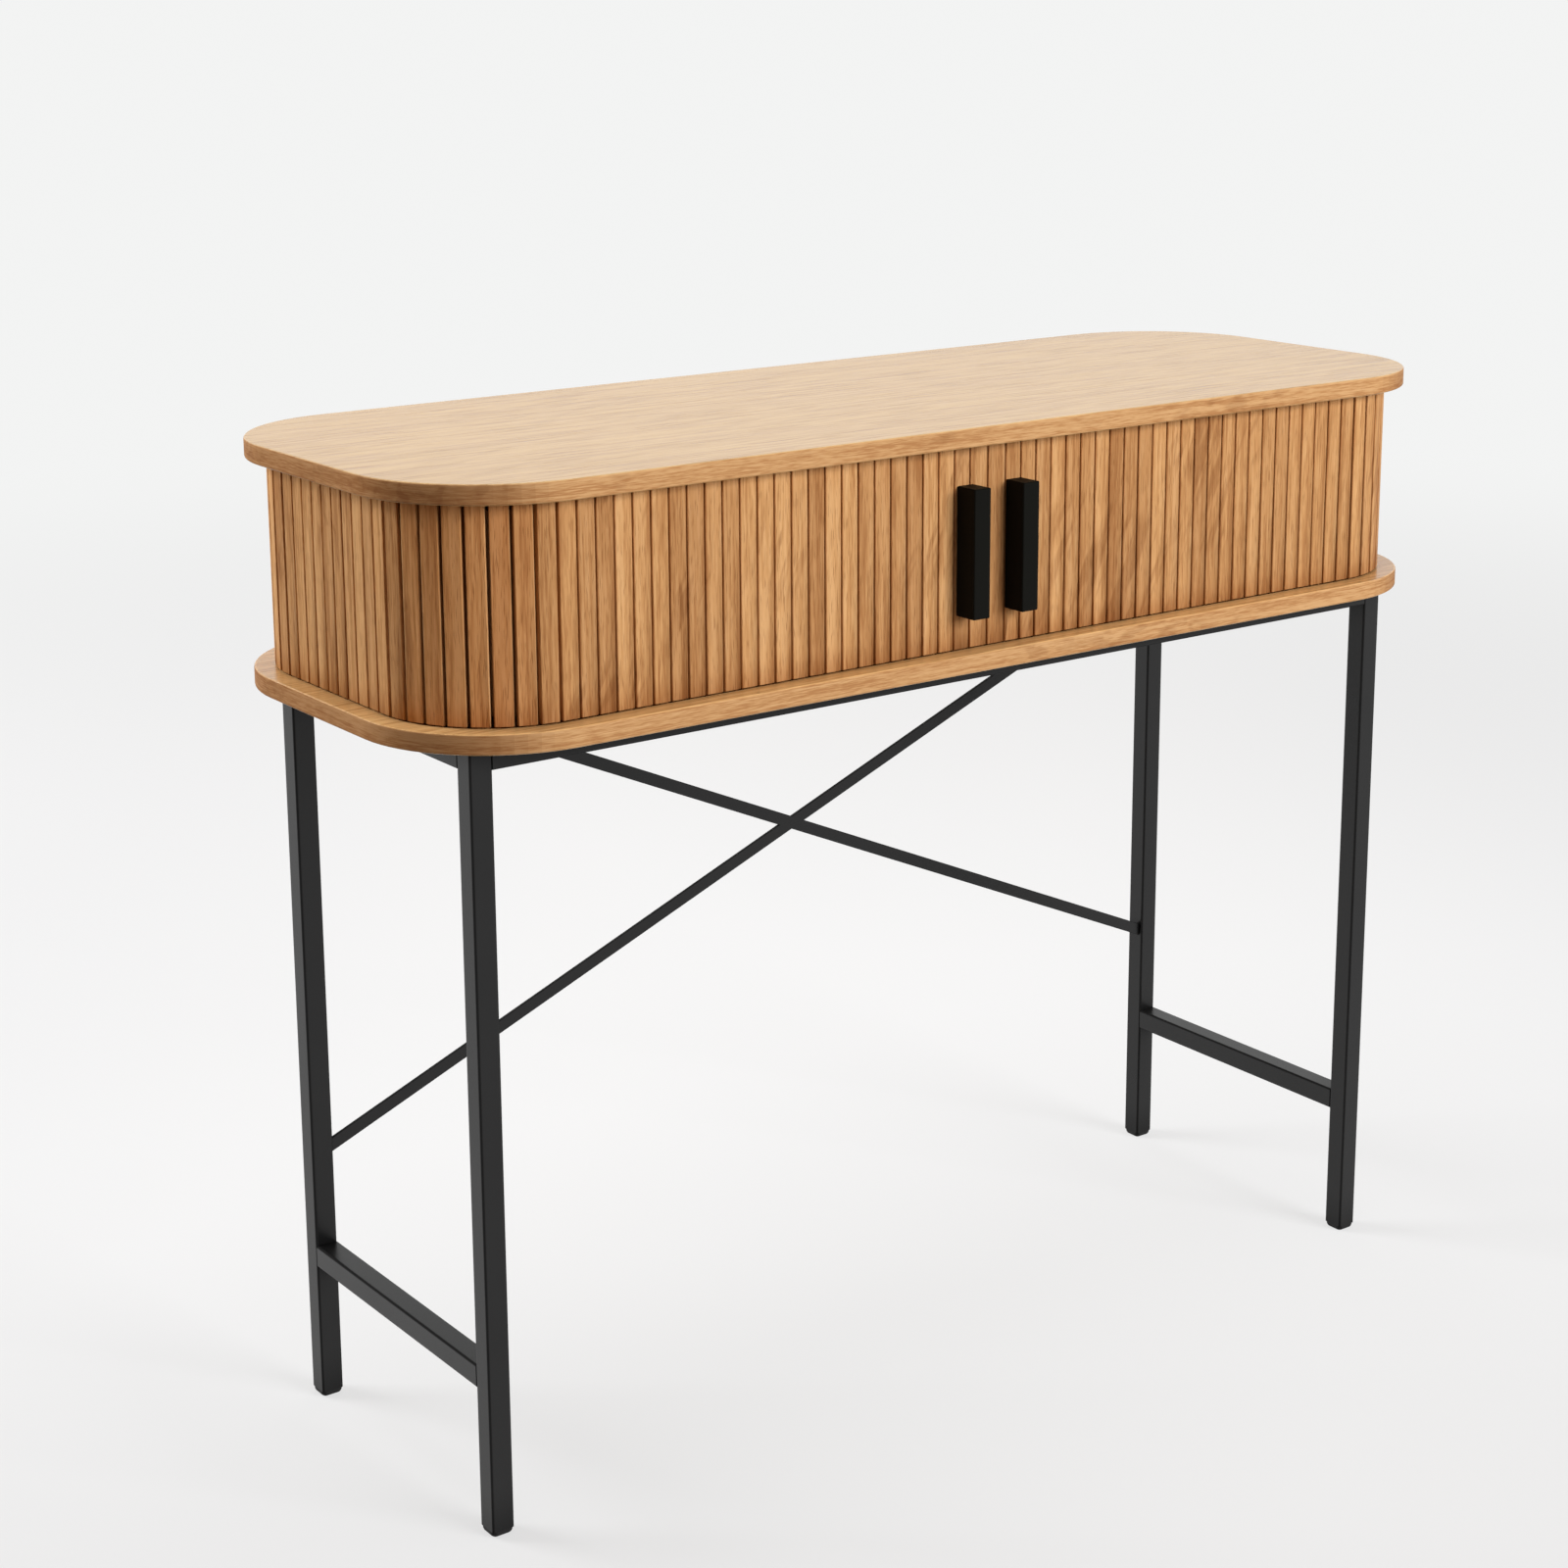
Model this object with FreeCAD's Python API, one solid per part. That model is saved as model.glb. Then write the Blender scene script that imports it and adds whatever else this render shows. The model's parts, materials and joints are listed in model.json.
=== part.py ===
"""Tambour desk: two round-cornered boards with sliding slat curtains between them, on a steel frame.

Millimetres. X runs along the desk, Y from front to back, Z up. The origin is on the floor under the middle.
"""
import FreeCAD, Part
import math
import os

# Boards: the worktop and the lower board share one outline
board_length = 1000.0
board_depth = 367.0
board_thickness = 15.0
board_corner_radius = 110.0
board_edge_rounding = 1.5
board_underside = 605.0
board_spacing = 160.0

# Curtains: slats on canvas, with tongues that run in grooves in both boards
curtain_inset = 16.0
slat_pitch = 15.3
slat_gap = 1.2
slat_thickness = 8.0
slat_edge_rounding = 0.9
slat_end_clearance = 1.4
lead_slat_pitch = 17.6
tongue_thickness = 4.0
tongue_depth = 4.0
groove_clearance = 0.5
canvas_thickness = 0.8
canvas_margin = 6.0
door_meeting_offset = -9.0
door_stop_gap = 1.0
curtain_tail = 30.0

# Handles: solid bars screwed on from inside
handle_width = 16.0
handle_depth = 21.0
handle_bottom_distance = 27.7
handle_top_distance = 31.3
left_handle_shift = 3.0
right_handle_shift = 0.7
handle_edge_rounding = 1.0
handle_screw_end_distance = 19.0
handle_screw_radius = 2.0
handle_screw_grip = 11.0
handle_screw_head_radius = 4.0
handle_screw_head_height = 2.4

# Carcass between the boards
panel_thickness = 12.0
inner_side_reach = 10.0
inner_front_setback = 13.0
inner_back_thickness = 6.0
inner_back_clearance = 1.0
rear_panel_thickness = 9.0
rear_panel_clearance = 0.5
dowel_radius = 3.0
dowel_length = 24.0
dowel_depth_in_board = 9.0
dowel_end_distance = 50.0

# Steel frame of square tube
leg_inset_x = 43.75
leg_inset_y = 38.75
tube_size = 18.5
tube_wall = 1.5
tube_corner_radius = 2.0
rail_height = 17.2
stretcher_underside = 115.25

# Rear cross of flat bar: heights of the bar axes at the legs, above the floor or as a drop below the board
brace_width = 10.5
brace_thickness = 3.0
brace_setback = 4.0
brace_edge_rounding = 0.5
brace_long_left_drop = 2.0
brace_long_right_height = 216.0
brace_short_left_height = 214.0
brace_short_right_drop = 35.5

# Foot caps pushed into the legs
cap_edge_rounding = 4.0
cap_corner_margin = 0.5
cap_side_height = 1.0
cap_plug_height = 12.0
cap_plug_clearance = 0.1

# Tabs welded to the rails, and the screws through them into the lower board
tab_length = 22.0
tab_width = 20.0
tab_thickness = 2.0
tab_end_distance = 187.0
tab_screw_radius = 2.2
tab_screw_grip = 8.0
tab_screw_head_radius = 4.5
tab_screw_head_height = 2.8

# Shared by all screws, dowels and cuts
hole_clearance = 0.1
cut_overrun = 2.0

# Degrees by which an edge may lean and still count as straight along an axis
edge_lean = 1.0

# Heights
lower_board_top = board_underside + board_thickness
top_board_underside = lower_board_top + board_spacing
top_board_top = top_board_underside + board_thickness
slat_bottom = lower_board_top + slat_end_clearance
slat_top = top_board_underside - slat_end_clearance
handle_bottom = lower_board_top + handle_bottom_distance
handle_top = top_board_underside - handle_top_distance
rail_underside = board_underside - rail_height
cap_thickness = cap_edge_rounding + cap_side_height

# The curtain's line is the canvas side of the slats
line_inset = curtain_inset + slat_thickness
line_radius = board_corner_radius - line_inset
line_front = board_length / 2 - board_corner_radius
line_side = board_depth - 2 * board_corner_radius
line_corner = line_radius * math.pi / 2
line_end = line_front + line_side + 2 * line_corner
line_y = board_depth / 2 - line_inset

# Carcass places
inner_x = line_front + inner_side_reach - panel_thickness
inner_front = -line_y + inner_front_setback
inner_back_rear = line_y - canvas_thickness - inner_back_clearance
inner_back_front = inner_back_rear - inner_back_thickness
rear_panel_front = line_y + slat_thickness + rear_panel_clearance
rear_panel_rear = rear_panel_front + rear_panel_thickness

# Frame places
leg_outer_x = board_length / 2 - leg_inset_x
leg_inner_x = leg_outer_x - tube_size
leg_outer_y = board_depth / 2 - leg_inset_y
leg_inner_y = leg_outer_y - tube_size
brace_y = leg_inner_y + brace_setback + brace_thickness / 2

LEFT = -1
RIGHT = 1
X_AXIS = FreeCAD.Vector(1, 0, 0)
Y_AXIS = FreeCAD.Vector(0, 1, 0)
Z_AXIS = FreeCAD.Vector(0, 0, 1)


def block(x_span, y_span, z_span):
    """Box between three pairs of limits, in either order."""
    spans = [sorted(span) for span in (x_span, y_span, z_span)]
    sizes = [high - low for low, high in spans]
    return Part.makeBox(*sizes, FreeCAD.Vector(*[low for low, high in spans]))


def rod(radius, start, axis, length):
    """Cylinder from a start point along an axis."""
    return Part.makeCylinder(radius, length, FreeCAD.Vector(*start), axis)


def edges_along(shape, axis):
    """Edges whose ends differ along one axis only."""
    found = []
    for edge in shape.Edges:
        run = edge.Vertexes[-1].Point - edge.Vertexes[0].Point
        if run.Length > 0 and abs(run.dot(axis)) >= run.Length * math.cos(math.radians(edge_lean)):
            found.append(edge)
    return found


def board_outline(inset, z_span):
    """Prism of the boards' outline, drawn in by an inset."""
    half_length = board_length / 2 - inset
    half_depth = board_depth / 2 - inset
    prism = block((-half_length, half_length), (-half_depth, half_depth), z_span)
    return prism.makeFillet(board_corner_radius - inset, edges_along(prism, Z_AXIS))


def curtain_ring(outer_inset, inner_inset, z_span):
    """Closed band that follows the curtain's line all round."""
    overrun_span = (z_span[0] - cut_overrun, z_span[1] + cut_overrun)
    return board_outline(outer_inset, z_span).cut(board_outline(inner_inset, overrun_span))


def plain_board(underside):
    """Board with softened edges and no grooves or holes."""
    board = board_outline(0, (underside, underside + board_thickness))
    level = [edge for edge in board.Edges if edge.BoundBox.ZLength < board_thickness / 2]
    return board.makeFillet(board_edge_rounding, level)


def curtain_groove(z_span):
    """Groove for the slats' tongues, with running clearance on both sides."""
    middle = curtain_inset + slat_thickness / 2
    half_width = tongue_thickness / 2 + groove_clearance
    return curtain_ring(middle - half_width, middle + half_width, z_span)


def dowel_places():
    """Middle of each dowel in plan: two in each upright panel, three in the rear panel."""
    side_x = inner_x + panel_thickness / 2
    upright_y = (inner_front + dowel_end_distance, inner_back_front - dowel_end_distance)
    rear_x = inner_x - dowel_end_distance
    rear_y = (rear_panel_front + rear_panel_rear) / 2
    uprights = [(x, y) for x in (-side_x, 0, side_x) for y in upright_y]
    return uprights + [(x, rear_y) for x in (-rear_x, 0, rear_x)]


def dowels(clearance):
    """All dowels, lower and upper, or their holes when a clearance is given."""
    lower = lower_board_top - dowel_depth_in_board
    upper = top_board_underside + dowel_depth_in_board - dowel_length
    starts = [(x, y, z - clearance) for x, y in dowel_places() for z in (lower, upper)]
    length = dowel_length + 2 * clearance
    return [rod(dowel_radius + clearance, start, Z_AXIS, length) for start in starts]


def dowel_holes(solid):
    """The solid with the dowel holes that reach into it."""
    return solid.cut(Part.makeCompound(dowels(hole_clearance)))


def tab_places():
    """Middle of each tab in plan: two on each long rail, one on each end rail."""
    reach_x = leg_inner_x - tab_width / 2
    reach_y = leg_inner_y - tab_width / 2
    along_x = leg_inner_x - tab_end_distance
    long_rails = [(x, y) for x in (-along_x, along_x) for y in (-reach_y, reach_y)]
    return long_rails + [(-reach_x, 0), (reach_x, 0)]


def tab_screw(place, clearance):
    """Screw from under a tab into the lower board, or its hole when a clearance is given."""
    start = board_underside - tab_thickness
    grip = tab_thickness + tab_screw_grip
    return rod(tab_screw_radius + clearance, (*place, start - clearance), Z_AXIS, grip + 2 * clearance)


def frame_screws():
    """Pan-head screws, heads against the tabs."""
    head_start = board_underside - tab_thickness - tab_screw_head_height
    screws = []
    for place in tab_places():
        head = rod(tab_screw_head_radius, (*place, head_start), Z_AXIS, tab_screw_head_height)
        screws.append(head.fuse(tab_screw(place, 0)).removeSplitter())
    return Part.makeCompound(screws)


def mounting_tabs():
    """Flat tabs welded to the rails, flush under the lower board."""
    tabs = []
    for x, y in tab_places():
        along_x = tab_width if y == 0 else tab_length
        along_y = tab_length if y == 0 else tab_width
        x_span = (x - along_x / 2, x + along_x / 2)
        y_span = (y - along_y / 2, y + along_y / 2)
        tab = block(x_span, y_span, (board_underside - tab_thickness, board_underside))
        tabs.append(tab.cut(tab_screw((x, y), hole_clearance)))
    return Part.makeCompound(tabs)


def lower_board():
    """Lower board, grooved on top, with holes for the dowels and the frame screws."""
    groove_depth = tongue_depth + groove_clearance
    groove = curtain_groove((lower_board_top - groove_depth, lower_board_top + cut_overrun))
    screw_holes = [tab_screw(place, hole_clearance) for place in tab_places()]
    board = plain_board(board_underside).cut(groove)
    return dowel_holes(board).cut(Part.makeCompound(screw_holes))


def top_board():
    """Worktop, grooved underneath, with holes for the dowels."""
    groove_depth = tongue_depth + groove_clearance
    groove = curtain_groove((top_board_underside - cut_overrun, top_board_underside + groove_depth))
    return dowel_holes(plain_board(top_board_underside).cut(groove))


def upright_panel(x_span):
    """Panel that stands between the boards from the inner front to the inner back."""
    return dowel_holes(block(x_span, (inner_front, inner_back_front), (lower_board_top, top_board_underside)))


def inner_side(hand):
    """End wall of the compartment, inside the curtain."""
    return upright_panel((hand * inner_x, hand * (inner_x + panel_thickness)))


def inner_back():
    """Thin back of the compartment, behind which the open curtains run."""
    z_span = (lower_board_top, top_board_underside)
    return block((-inner_x, inner_x), (inner_back_front, inner_back_rear), z_span)


def rear_panel():
    """Outer back, between the rear corners."""
    z_span = (lower_board_top, top_board_underside)
    return dowel_holes(block((-inner_x, inner_x), (rear_panel_front, rear_panel_rear), z_span))


def slat_start(hand):
    """Place on the curtain's line of the first plain slat's near edge."""
    return hand * door_meeting_offset + lead_slat_pitch


def slat_middles(hand):
    """Places along the line of all plain slats, from the handle slat to the tail behind the rear panel."""
    start = slat_start(hand)
    count = math.floor((line_end + curtain_tail - start) / slat_pitch)
    return [start + slat_pitch * (index + 0.5) for index in range(count)]


def fixed_start(hand):
    """Near edge of the first slat that doesn't lie wholly on the straight front."""
    start = slat_start(hand)
    return start + slat_pitch * math.floor((line_front - start) / slat_pitch)


def curtain_end(hand):
    """Far edge of the last slat."""
    return slat_middles(hand)[-1] + slat_pitch / 2


def door_travel(hand):
    """How far the handle slat runs before it meets the slats on the corner."""
    return fixed_start(hand) - slat_start(hand) - slat_pitch - door_stop_gap


def line_place(distance):
    """Point on the right-hand curtain line and the turn of its outward side, from the front middle."""
    corner_x = line_front
    corner_y = line_side / 2
    past_front = distance - line_front
    past_side = past_front - line_corner - line_side
    if past_front <= 0:
        return distance, -line_y, 0
    if past_front <= line_corner:
        turn = past_front / line_radius
        return corner_x + line_radius * math.sin(turn), -corner_y - line_radius * math.cos(turn), turn
    if past_side <= 0:
        return corner_x + line_radius, past_side + corner_y, math.pi / 2
    if past_side >= line_corner:
        return corner_x + line_corner - past_side, line_y, math.pi
    turn = math.pi / 2 + past_side / line_radius
    return corner_x + line_radius * math.sin(turn), corner_y - line_radius * math.cos(turn), turn


def plain_slat(pitch):
    """Slat at the front middle, back on the curtain's line, with a tongue at each end."""
    half_width = (pitch - slat_gap) / 2
    body = block((-half_width, half_width), (-slat_thickness, 0), (slat_bottom, slat_top))
    face_edges = [edge for edge in edges_along(body, Z_AXIS) if edge.CenterOfMass.y < -slat_thickness / 2]
    body = body.makeFillet(slat_edge_rounding, face_edges)
    tongue_back = -(slat_thickness - tongue_thickness) / 2
    tongue_x = half_width - slat_edge_rounding
    tongue_z = (lower_board_top - tongue_depth, top_board_underside + tongue_depth)
    tongue = block((-tongue_x, tongue_x), (tongue_back - tongue_thickness, tongue_back), tongue_z)
    return body.fuse(tongue).removeSplitter()


def placed(slat, hand, distance):
    """Copy of a slat moved along the curtain's line of one hand."""
    x, y, turn = line_place(distance)
    turned = FreeCAD.Rotation(Z_AXIS, math.degrees(hand * turn))
    moved = slat.copy()
    moved.Placement = FreeCAD.Placement(FreeCAD.Vector(hand * x, y, 0), turned)
    return moved


def slat_group(hand, near, far):
    """Plain slats whose middles lie between two places on the line."""
    slat = plain_slat(slat_pitch)
    return Part.makeCompound([placed(slat, hand, at) for at in slat_middles(hand) if near < at <= far])


def handle_middle(hand):
    """X of a handle, which sits a little to the right of the middle of its slat."""
    shift = left_handle_shift if hand == LEFT else right_handle_shift
    return hand * slat_middles(hand)[0] + shift


def handle_screw_heights():
    """Heights of the two screws in a handle."""
    return [handle_bottom + handle_screw_end_distance, handle_top - handle_screw_end_distance]


def handle_screw_shanks(hand, clearance):
    """Shanks from the canvas into the handle, or their holes when a clearance is given."""
    length = canvas_thickness + slat_thickness + handle_screw_grip
    tip = -line_y + canvas_thickness - length
    starts = [(handle_middle(hand), tip - clearance, z) for z in handle_screw_heights()]
    return [rod(handle_screw_radius + clearance, start, Y_AXIS, length + 2 * clearance) for start in starts]


def handle_screws(hand):
    """Pan-head screws with their heads inside, on the canvas."""
    head_start = -line_y + canvas_thickness
    screws = []
    for shank, z in zip(handle_screw_shanks(hand, 0), handle_screw_heights()):
        head_place = (handle_middle(hand), head_start, z)
        head = rod(handle_screw_head_radius, head_place, Y_AXIS, handle_screw_head_height)
        screws.append(head.fuse(shank).removeSplitter())
    return Part.makeCompound(screws)


def handle_holes(solid, hand):
    """The solid with the holes of the handle screws that reach into it."""
    return solid.cut(Part.makeCompound(handle_screw_shanks(hand, hole_clearance)))


def handle(hand):
    """Solid bar on the face of the handle slat."""
    x = handle_middle(hand)
    face = -line_y - slat_thickness
    x_span = (x - handle_width / 2, x + handle_width / 2)
    bar = block(x_span, (face - handle_depth, face), (handle_bottom, handle_top))
    outer = [edge for edge in bar.Edges if edge.CenterOfMass.y < face - handle_edge_rounding]
    return handle_holes(bar.makeFillet(handle_edge_rounding, outer), hand)


def lead_slat(hand):
    """Wider slat at the edge where the two doors meet."""
    return placed(plain_slat(lead_slat_pitch), hand, slat_start(hand) - lead_slat_pitch / 2)


def handle_slat(hand):
    """Second slat of a door, drilled for the handle."""
    return handle_holes(placed(plain_slat(slat_pitch), hand, slat_middles(hand)[0]), hand)


def flat_canvas(hand, near, far):
    """Canvas behind the slats between two places on the straight front."""
    z_span = (slat_bottom + canvas_margin, slat_top - canvas_margin)
    return block((hand * near, hand * far), (-line_y, -line_y + canvas_thickness), z_span)


def door_canvas(hand):
    """Canvas behind the lead and handle slats."""
    near = slat_start(hand) - lead_slat_pitch + slat_gap / 2
    return handle_holes(flat_canvas(hand, near, slat_start(hand) + slat_pitch), hand)


def front_canvas(hand):
    """Canvas behind the slats that leave the front when the door opens."""
    return flat_canvas(hand, slat_start(hand) + slat_pitch, fixed_start(hand))


def fixed_canvas(hand):
    """Canvas round the front corner, the side and the rear corner, to the end of the tail."""
    z_span = (slat_bottom + canvas_margin, slat_top - canvas_margin)
    band = curtain_ring(line_inset, line_inset + canvas_thickness, z_span)
    tail_x, tail_y, turn = line_place(curtain_end(hand))
    front_half = block((hand * fixed_start(hand), hand * board_length), (-board_depth, 0), z_span)
    rear_half = block((hand * tail_x, hand * board_length), (0, board_depth), z_span)
    return band.common(front_half.fuse(rear_half).removeSplitter())


def stop_edge(hand):
    """X where the last slat of a fully open curtain comes to rest at the back."""
    back_run = curtain_end(hand) + door_travel(hand) + door_stop_gap - line_end
    return hand * (line_front - back_run)


def rear_stop_block():
    """Block in the rear pocket that ends the run of both curtains."""
    y_span = (inner_back_rear, rear_panel_front)
    return block((stop_edge(LEFT), stop_edge(RIGHT)), y_span, (lower_board_top, top_board_underside))


def tube(x_span, y_span, z_span, axis):
    """Square steel tube with rounded corners, open at both ends."""
    spans = [sorted(span) for span in (x_span, y_span, z_span)]
    growth = [cut_overrun if along else -tube_wall for along in axis]
    bore = block(*[(low - grow, high + grow) for (low, high), grow in zip(spans, growth)])
    outer = block(*spans)
    return outer.makeFillet(tube_corner_radius, edges_along(outer, axis)).cut(bore)


def leg(side, end):
    """Leg from its foot cap to the lower board."""
    x_span = (side * leg_inner_x, side * leg_outer_x)
    y_span = (end * leg_inner_y, end * leg_outer_y)
    return tube(x_span, y_span, (cap_thickness, board_underside), Z_AXIS)


def end_tube(side, underside, height):
    """Tube between the front and rear legs of one end."""
    x_span = (side * leg_inner_x, side * leg_outer_x)
    return tube(x_span, (-leg_inner_y, leg_inner_y), (underside, underside + height), Y_AXIS)


def long_rail(end):
    """Rail between the left and right legs, under the lower board."""
    y_span = (end * leg_inner_y, end * leg_outer_y)
    return tube((-leg_inner_x, leg_inner_x), y_span, (rail_underside, board_underside), X_AXIS)


def brace_bar(left_height, right_height):
    """Flat bar across the rear opening, cut off at the legs and under the rail."""
    rise = right_height - left_height
    reach = math.hypot(2 * leg_inner_x, rise) / 2 + 2 * tube_size
    y_half = brace_thickness / 2
    z_half = brace_width / 2
    bar = block((-reach, reach), (-y_half, y_half), (-z_half, z_half))
    bar = bar.makeFillet(brace_edge_rounding, edges_along(bar, X_AXIS))
    slope = FreeCAD.Rotation(Y_AXIS, -math.degrees(math.atan2(rise, 2 * leg_inner_x)))
    middle = FreeCAD.Vector(0, brace_y, (left_height + right_height) / 2)
    bar.Placement = FreeCAD.Placement(middle, slope)
    y_span = (brace_y - tube_size, brace_y + tube_size)
    return bar.common(block((-leg_inner_x, leg_inner_x), y_span, (0, rail_underside)))


def brace_bars():
    """The rear cross: one whole bar, and the two halves welded to it, lower left then upper right."""
    long_bar = brace_bar(board_underside - brace_long_left_drop, brace_long_right_height)
    short_bar = brace_bar(brace_short_left_height, board_underside - brace_short_right_drop)
    halves = short_bar.cut(long_bar).Solids
    lower, upper = sorted(halves, key=lambda half: half.CenterOfMass.x)
    return long_bar, lower, upper


def foot_cap(side, end):
    """Cap under a leg, rounded at the floor and at its corners, with a plug inside the tube."""
    x_span = (side * leg_inner_x, side * leg_outer_x)
    y_span = (end * leg_inner_y, end * leg_outer_y)
    cap = block(x_span, y_span, (0, cap_thickness))
    cap = cap.makeFillet(cap_edge_rounding + cap_corner_margin, edges_along(cap, Z_AXIS))
    floor_edges = [edge for edge in cap.Edges if edge.BoundBox.ZMax < cap_thickness / 2]
    cap = cap.makeFillet(cap_edge_rounding, floor_edges)
    inset = tube_wall + cap_plug_clearance
    plug_x = (side * (leg_inner_x + inset), side * (leg_outer_x - inset))
    plug_y = (end * (leg_inner_y + inset), end * (leg_outer_y - inset))
    plug = block(plug_x, plug_y, (cap_thickness / 2, cap_thickness + cap_plug_height))
    return cap.fuse(plug)


def carcass_nodes():
    """Boards, panels and the pieces that hold them together."""
    return {
        "top_board": top_board(),
        "lower_board": lower_board(),
        "left_inner_side": inner_side(LEFT),
        "right_inner_side": inner_side(RIGHT),
        "centre_divider": upright_panel((-panel_thickness / 2, panel_thickness / 2)),
        "inner_back": inner_back(),
        "rear_panel": rear_panel(),
        "rear_stop_block": rear_stop_block(),
        "carcass_dowels": Part.makeCompound(dowels(0)),
    }


def curtain_nodes(name, hand):
    """Slats, canvas, handle and screws of one curtain."""
    corner_far = line_front + line_corner
    side_far = corner_far + line_side
    return {
        name + "_door_lead_slat": lead_slat(hand),
        name + "_door_handle_slat": handle_slat(hand),
        name + "_door_canvas": door_canvas(hand),
        name + "_handle": handle(hand),
        name + "_handle_screws": handle_screws(hand),
        name + "_front_slats": slat_group(hand, slat_start(hand) + slat_pitch, fixed_start(hand)),
        name + "_front_canvas": front_canvas(hand),
        name + "_front_corner_slats": slat_group(hand, fixed_start(hand), corner_far),
        name + "_side_slats": slat_group(hand, corner_far, side_far),
        name + "_rear_corner_slats": slat_group(hand, side_far, curtain_end(hand)),
        name + "_fixed_canvas": fixed_canvas(hand),
    }


def frame_nodes():
    """Legs, rails, stretchers, rear cross and their fixings."""
    ends = {"front": -1, "rear": 1}
    sides = {"left": LEFT, "right": RIGHT}
    nodes = {}
    for end_name, end in ends.items():
        nodes[end_name + "_rail"] = long_rail(end)
        for side_name, side in sides.items():
            nodes[end_name + "_" + side_name + "_leg"] = leg(side, end)
    for side_name, side in sides.items():
        nodes[side_name + "_rail"] = end_tube(side, rail_underside, rail_height)
        nodes[side_name + "_stretcher"] = end_tube(side, stretcher_underside, tube_size)
    bars = brace_bars()
    for bar_name, bar in zip(("brace_long_bar", "brace_lower_bar", "brace_upper_bar"), bars):
        nodes[bar_name] = bar
    caps = [foot_cap(side, end) for side in sides.values() for end in ends.values()]
    nodes["foot_caps"] = Part.makeCompound(caps)
    nodes["mounting_tabs"] = mounting_tabs()
    nodes["frame_screws"] = frame_screws()
    return nodes


def all_nodes():
    """Every named piece of the desk."""
    nodes = carcass_nodes()
    nodes.update(curtain_nodes("left", LEFT))
    nodes.update(curtain_nodes("right", RIGHT))
    nodes.update(frame_nodes())
    return nodes


os.makedirs("parts", exist_ok=True)
for node_name, shape in all_nodes().items():
    shape.exportStep("parts/" + node_name + ".step")
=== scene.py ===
"""Looks of the tambour desk: oak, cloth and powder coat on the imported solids, in a pale studio."""

import json
import math
import random

import bmesh
import bpy
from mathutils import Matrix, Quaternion, Vector


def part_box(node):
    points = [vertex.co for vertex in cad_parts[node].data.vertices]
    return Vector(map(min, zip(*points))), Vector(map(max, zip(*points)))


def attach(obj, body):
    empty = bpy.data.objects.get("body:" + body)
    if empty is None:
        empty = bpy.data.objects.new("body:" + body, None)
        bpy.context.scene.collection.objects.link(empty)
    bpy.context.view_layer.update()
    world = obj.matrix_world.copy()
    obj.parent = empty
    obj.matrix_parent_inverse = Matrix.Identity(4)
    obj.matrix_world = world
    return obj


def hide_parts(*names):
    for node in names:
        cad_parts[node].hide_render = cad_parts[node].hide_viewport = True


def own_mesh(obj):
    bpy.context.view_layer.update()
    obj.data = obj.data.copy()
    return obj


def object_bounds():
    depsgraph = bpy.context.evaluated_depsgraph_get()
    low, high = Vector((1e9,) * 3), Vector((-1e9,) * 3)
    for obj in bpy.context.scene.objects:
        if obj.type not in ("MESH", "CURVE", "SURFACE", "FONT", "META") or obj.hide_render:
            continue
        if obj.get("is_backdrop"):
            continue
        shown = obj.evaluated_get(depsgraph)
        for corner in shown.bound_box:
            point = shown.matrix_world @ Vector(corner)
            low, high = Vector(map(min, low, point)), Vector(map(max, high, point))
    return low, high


# Camera: metres, degrees, pixels of the photograph and millimetres of sensor
camera_place = (-1.42881, -1.85857, 1.14371)
camera_heading = 35.952
camera_dip = 12.988
camera_roll = -0.333
focal_pixels = 2985.8
picture_pixels = 1600
axis_row = 640
sensor_width = 36.0

# Floor and backdrop: metres and plain light levels
pale = (0.895, 0.9, 0.895)
floor_reach = 90.0
floor_shades = ((-0.7, 0.82), (0.1, 0.94), (0.9, 0.985), (2.2, 0.97))
floor_sides = (0.25, 1.1)
floor_side_shade = (0.95, 0.955, 0.96)
floor_near = 1.6
floor_far = 4.6
floor_colour = (0.25, 0.25, 0.25)
floor_seen_colour = (0.69, 0.7, 0.71)
floor_glow_share = 0.71
fill_light = (0.13, 0.083, 0.053)
ceiling_shade = (0.4, 0.4, 0.4)
ceiling_rises = (0.5, 0.85)

# Lamps: metres and watts
lamps = {
    "front_softbox": {
        "place": (1.7, -4.93, 2.3),
        "aim": (0.0, 0.0, 0.55),
        "size": (2.8, 2.4),
        "watts": 330.0,
    },
    "rear_left_softbox": {
        "place": (-2.95, 3.2, 2.2),
        "aim": (0.0, 0.0, 0.5),
        "size": (2.2, 2.2),
        "watts": 218.0,
    },
    "overhead_softbox": {
        "place": (0.0, 0.2, 3.3),
        "aim": (0.0, 0.0, 0.7),
        "size": (2.2, 2.2),
        "watts": 46.0,
    },
}

# Meshes: metres and degrees
merge_distance = 1e-6
smooth_angle = 35.0
slat_seed = 127187

# Oak colours: linear, from dark to light
slat_oak = ((0.44, 0.212, 0.081), (0.585, 0.315, 0.13), (0.67, 0.387, 0.176))
edge_oak = ((0.42, 0.205, 0.082), (0.53, 0.293, 0.128), (0.6, 0.355, 0.168))
face_oak = ((0.49, 0.292, 0.115), (0.565, 0.359, 0.15), (0.605, 0.398, 0.174))
panel_oak = ((0.45, 0.245, 0.098), (0.535, 0.312, 0.134), (0.585, 0.358, 0.16))
pore_oak = (0.27, 0.112, 0.036)
face_pore_oak = (0.3, 0.155, 0.055)
# Painted shade: a warm darkening, redder than it is dark, on the slats that face out of the front left corner
corner_shade_tint = (1.04, 0.9, 0.8)
# Painted light: lifts the faces of the lower board, which lie in shade
ledge_painted_light = (1.25, 1.2, 1.2)
shade_hue_shares = (1.0, 1.25, 1.4)

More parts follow.
